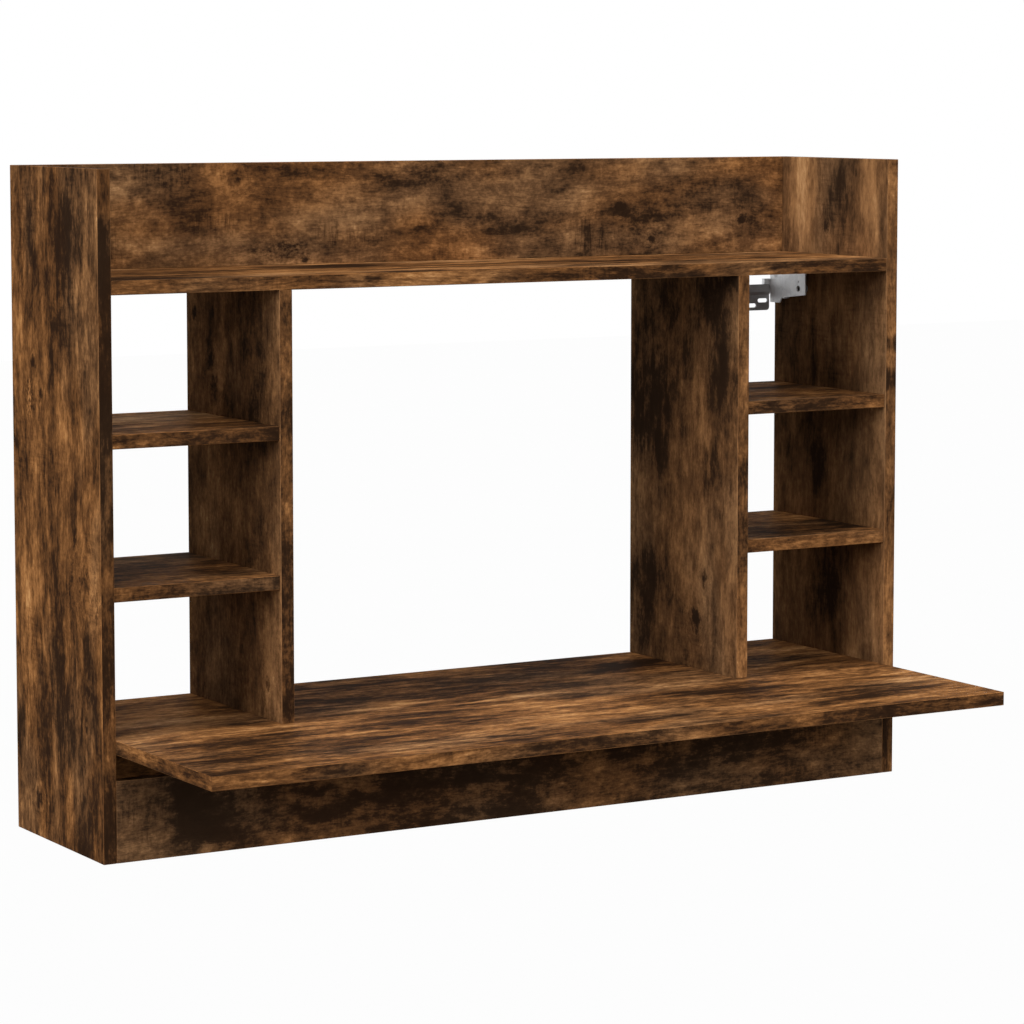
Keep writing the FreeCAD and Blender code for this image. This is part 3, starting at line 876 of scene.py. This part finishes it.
    desktop: OakFoil = OakFoil(
        8.4,
        Grain.LEVEL,
        tone=0.575,
        edge_tone=-0.17,
        cloud=1.0,
        contrast=1.3,
        grey=-0.3,
        stretch=1.35,
        side=1,
        marks=(
            # Painted shade: the first two broad patches darken the rear strip of the desktop, under the top
            # shelf, where the shelf shades it. The broad pale patches at 0.430 and -0.400 along lighten the
            # ends of that strip.
            StainOrShade(0.000, -0.100, 0.460, 0.105, 0.16),
            StainOrShade(0.020, -0.080, 0.220, 0.100, 0.07),
            StainOrShade(0.430, -0.090, 0.090, 0.100, -0.08),
            StainOrShade(0.330, -0.330, 0.180, 0.110, 0.06),
            StainOrShade(-0.055, -0.158, 0.080, 0.020),
            StainOrShade(-0.061, -0.032, 0.034, 0.014),
            StainOrShade(-0.232, -0.158, 0.050, 0.020),
            StainOrShade(-0.299, -0.329, 0.034, 0.008),
            StainOrShade(-0.445, -0.383, 0.060, 0.018, 0.22),
            StainOrShade(-0.118, -0.245, 0.060, 0.010),
            StainOrShade(-0.129, -0.401, 0.030, 0.010),
            StainOrShade(-0.380, -0.226, 0.085, 0.012, -0.16),
            StainOrShade(0.110, -0.177, 0.085, 0.024),
            StainOrShade(0.263, -0.064, 0.050, 0.020),
            StainOrShade(0.284, -0.254, 0.042, 0.011),
            StainOrShade(0.433, -0.034, 0.040, 0.018),
            StainOrShade(0.023, -0.261, 0.120, 0.020, -0.16),
            StainOrShade(0.329, -0.280, 0.085, 0.015, -0.12),
            StainOrShade(0.360, -0.338, 0.080, 0.008, 0.22),
            StainOrShade(0.044, -0.316, 0.060, 0.011),
            StainOrShade(-0.400, -0.110, 0.110, 0.110, -0.22),
            StainOrShade(-0.300, -0.330, 0.260, 0.110, 0.11),
        ),
    )
    left_upper_shelf: OakFoil = OakFoil(9.3, Grain.LEVEL, tone=0.675, edge_tone=-0.41, contrast=1.3)
    left_lower_shelf: OakFoil = OakFoil(10.8, Grain.LEVEL, tone=0.54, edge_tone=-0.06, contrast=1.2)
    right_upper_shelf: OakFoil = OakFoil(11.5, Grain.LEVEL, tone=0.505, edge_tone=-0.115, contrast=1.2)
    right_lower_shelf: OakFoil = OakFoil(12.2, Grain.LEVEL, tone=0.52, edge_tone=0.09, contrast=1.2)
    front_apron: OakFoil = OakFoil(
        13.6,
        Grain.FACING,
        tone=0.40,
        cloud=0.7,
        contrast=0.85,
        sawn=0.8,
        grey=0.2,
        stretch=0.6,
        side=-1,
        marks=(
            # Painted shade: the three broad patches, as tall as the apron, at -0.360, 0.050 and 0.380 along,
            # darken its middle where the desktop's overhang shades it; the small ones are stains of the print.
            StainOrShade(-0.456, -0.475, 0.036, 0.045, -0.03),
            StainOrShade(-0.360, -0.490, 0.200, 0.080, 0.11),
            StainOrShade(-0.405, -0.479, 0.018, 0.050, 0.18),
            StainOrShade(-0.365, -0.510, 0.032, 0.018),
            StainOrShade(-0.238, -0.504, 0.052, 0.024),
            StainOrShade(-0.161, -0.487, 0.030, 0.045, 0.18),
            StainOrShade(-0.053, -0.488, 0.055, 0.009),
            StainOrShade(0.022, -0.479, 0.050, 0.020),
            StainOrShade(0.304, -0.481, 0.080, 0.028, 0.22),
            StainOrShade(0.380, -0.498, 0.180, 0.080, 0.11),
            StainOrShade(0.050, -0.490, 0.260, 0.090, 0.1),
        ),
    )
    rear_rail: OakFoil = OakFoil(14.9, Grain.FACING, tone=0.50)

    def finish(self, nodes: dict[str, bpy.types.Object]) -> None:
        """Covers each board with its foil.

        Args:
            nodes: objects of the CAD nodes.
        """
        for name, foil in vars(self).items():
            dress(nodes[name], foil.material(name))
            LOG.info("%s: oak foil, grain %s", name, foil.grain.name.lower())


@dataclass
class Fittings:
    """Cam discs, screws and the two cabinet hangers with their wall plates."""

    # The housing gets painted shade on its faces deep in the channel, next to the side panel.
    housing: PlatedSteel = PlatedSteel(tint(250, 251, 252), 0.50, 0.45, painted_shade_beyond=0.476)
    hook: PlatedSteel = PlatedSteel(tint(246, 247, 248), 0.44, 0.5)
    plate: PlatedSteel = PlatedSteel(tint(182, 180, 180), 0.42, 0.3)
    screw: PlatedSteel = PlatedSteel(tint(190, 188, 180), 0.28, lines=(300.0, 300.0, 300.0))
    fixing: PlatedSteel = PlatedSteel(tint(58, 57, 56), 0.40, 0.7, lines=(300.0, 300.0, 300.0))
    cam: PlatedSteel = PlatedSteel(tint(176, 176, 174), 0.44, lines=(200.0, 200.0, 200.0), spangle=420.0)

    def finish(self, nodes: dict[str, bpy.types.Object]) -> None:
        """Covers each metal node with its plating.

        Args:
            nodes: objects of the CAD nodes.
        """
        platings = {
            "hanger_housing": self.housing.material("housing_plating_and_painted_shade"),
            "hook": self.hook.material("hook_plating"),
            "wall_plate": self.plate.material("plate_coating"),
            "screw": self.screw.material("screw_plating"),
            "cam_discs": self.cam.material("cam_casting"),
        }
        platings["carriage"] = platings["hook"]
        platings["hanger_screws"] = self.fixing.material("fixing_coating")
        for name, node in nodes.items():
            for ending, plating in platings.items():
                if name.endswith(ending):
                    dress(node, plating)
                    LOG.info("%s: %s", name, plating.name)


@dataclass(frozen=True)
class Lamp:
    """A broad, even lamp: how bright, how soft in degrees, where it stands and whether it glints."""

    name: str
    level: float
    spread: float
    origin: Point
    glints: bool = True


@dataclass
class Studio:
    """Plain floor, soft light and the camera at the photograph's angle.

    Lengths are in metres. The camera looks down by its pitch, in degrees, and turns by its heading, in radians.
    """

    floor_level: float = -1.16
    floor_half: float = 14.0
    floor_tints: tuple[Colour, Colour] = (tint(136, 136, 135), tint(142, 142, 141))
    floor_clouds: Film = Film(Noise((3.0, 3.0, 3.0), 4.0), -1.0, 1.0)
    floor_rough: float = 0.9
    floor_white: float = 0.97
    lamps: tuple[Lamp, ...] = (
        Lamp("front_lamp", 0.62, 24.0, (-0.1, -1.0, 0.42)),
        Lamp("left_lamp", 0.72, 30.0, (-1.0, -0.2, 0.35)),
        Lamp("top_lamp", 0.60, 24.0, (-0.12, -0.08, 1.0)),
        Lamp("rear_lamp", 0.40, 30.0, (0.45, 1.0, 0.0), False),
        Lamp("right_lamp", 0.30, 30.0, (1.0, 0.1, 0.0), False),
    )
    lamp_reach: float = 4.0
    sky_level: float = 0.32
    sky_white: Colour = (1.0, 1.0, 1.0, 1.0)
    sky_tint: Colour = (0.95, 1.0, 1.07, 1.0)
    eye: Point = (-1.96801, -3.54123, 0.25548)
    pitch: float = 5.416
    heading: float = -0.53233
    lens: float = 125.596
    shift: float = -0.08
    sensor: float = 36.0
    farthest: float = 60.0

    def lay_floor(self) -> None:
        """Lays the pale floor well below the desk, clear from underneath."""
        half, level = self.floor_half, self.floor_level
        mesh = bpy.data.meshes.new("studio_floor")
        corners = [(-half, -half, level), (half, -half, level), (half, half, level), (-half, half, level)]
        mesh.from_pydata(corners, [], [(0, 1, 2, 3)])
        floor = bpy.data.objects.new("studio_floor", mesh)
        bpy.context.collection.objects.link(floor)
        graph = Graph("studio_floor")
        tree = graph.tree
        clouds = graph.film(graph.place()[0], self.floor_clouds)
        graph.feed(graph.shader.inputs["Base Color"], graph.paint(clouds, *self.floor_tints))
        graph.shader.inputs["Roughness"].default_value = self.floor_rough
        glow = tree.nodes.new("ShaderNodeEmission")
        seen = tree.nodes.new("ShaderNodeMixShader")
        clear = tree.nodes.new("ShaderNodeBsdfTransparent")
        sided = tree.nodes.new("ShaderNodeMixShader")
        under = tree.nodes.new("ShaderNodeNewGeometry")
        output = next(node for node in tree.nodes if node.type == "OUTPUT_MATERIAL")
        graph.feed(seen.inputs[0], graph.calc("MULTIPLY", self._looked_at(graph), self.floor_white))
        graph.feed(seen.inputs[1], graph.shader.outputs[0])
        graph.feed(seen.inputs[2], glow.outputs[0])
        graph.feed(sided.inputs[0], under.outputs["Backfacing"])
        graph.feed(sided.inputs[1], seen.outputs[0])
        graph.feed(sided.inputs[2], clear.outputs[0])
        graph.feed(output.inputs["Surface"], sided.outputs[0])
        mesh.materials.append(graph.material)

    @staticmethod
    def _looked_at(graph: Graph) -> Socket:
        """1 for rays from the camera and for mirrored or refracted ones.

        Args:
            graph: the nodes that it is added to.

        Returns:
            The factor.
        """
        path = graph.tree.nodes.new("ShaderNodeLightPath")
        direct = graph.calc("MAXIMUM", path.outputs["Is Camera Ray"], path.outputs["Is Glossy Ray"])
        return graph.calc("MAXIMUM", direct, path.outputs["Is Transmission Ray"])

    def light(self) -> None:
        """Sets the soft lamps and the sky."""
        for lamp in self.lamps:
            data = bpy.data.lights.new(lamp.name, "SUN")
            data.energy = lamp.level * math.pi
            data.angle = math.radians(lamp.spread)
            light = bpy.data.objects.new(lamp.name, data)
            bpy.context.collection.objects.link(light)
            light.visible_glossy = lamp.glints
            x, y, z = lamp.origin
            light.location = [part * self.lamp_reach for part in lamp.origin]
            light.rotation_euler = (math.atan2(math.hypot(x, y), z), 0.0, math.atan2(x, -y))

        world = bpy.data.worlds.new("studio_sky")
        bpy.context.scene.world = world
        world.use_nodes = True
        tree = world.node_tree
        tree.nodes.clear()
        output = tree.nodes.new("ShaderNodeOutputWorld")
        path = tree.nodes.new("ShaderNodeLightPath")
        white, soft = tree.nodes.new("ShaderNodeBackground"), tree.nodes.new("ShaderNodeBackground")
        white.inputs["Color"].default_value = self.sky_white
        soft.inputs["Color"].default_value = self.sky_tint
        soft.inputs["Strength"].default_value = self.sky_level
        mixed = tree.nodes.new("ShaderNodeMixShader")
        direct, every = tree.nodes.new("ShaderNodeMath"), tree.nodes.new("ShaderNodeMath")
        for node, first, second in (
            (direct, path.outputs["Is Camera Ray"], path.outputs["Is Glossy Ray"]),
            (every, direct.outputs[0], path.outputs["Is Transmission Ray"]),
        ):
            node.operation = "MAXIMUM"
            tree.links.new(first, node.inputs[0])
            tree.links.new(second, node.inputs[1])
        tree.links.new(every.outputs[0], mixed.inputs[0])
        tree.links.new(soft.outputs[0], mixed.inputs[1])
        tree.links.new(white.outputs[0], mixed.inputs[2])
        tree.links.new(mixed.outputs[0], output.inputs["Surface"])
        bpy.context.scene.view_settings.view_transform = "Standard"

    def aim(self) -> None:
        """Places the camera where the photograph was taken from."""
        data = bpy.data.cameras.new("photo_camera")
        data.sensor_width = self.sensor
        data.lens = self.lens
        data.shift_y = self.shift
        data.clip_end = self.farthest
        camera = bpy.data.objects.new("photo_camera", data)
        bpy.context.collection.objects.link(camera)
        camera.location = self.eye
        camera.rotation_euler = (math.radians(90.0 - self.pitch), 0.0, self.heading)
        bpy.context.scene.camera = camera


def main() -> None:
    """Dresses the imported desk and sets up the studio."""
    logging.basicConfig(level=logging.INFO, format="%(name)s: %(message)s")
    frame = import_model()
    Boards().finish(frame["nodes"])
    Fittings().finish(frame["nodes"])
    studio = Studio()
    studio.aim()
    studio.light()
    studio.lay_floor()
    LOG.info("studio: floor, light and camera")


if __name__ == "__main__":
    main()
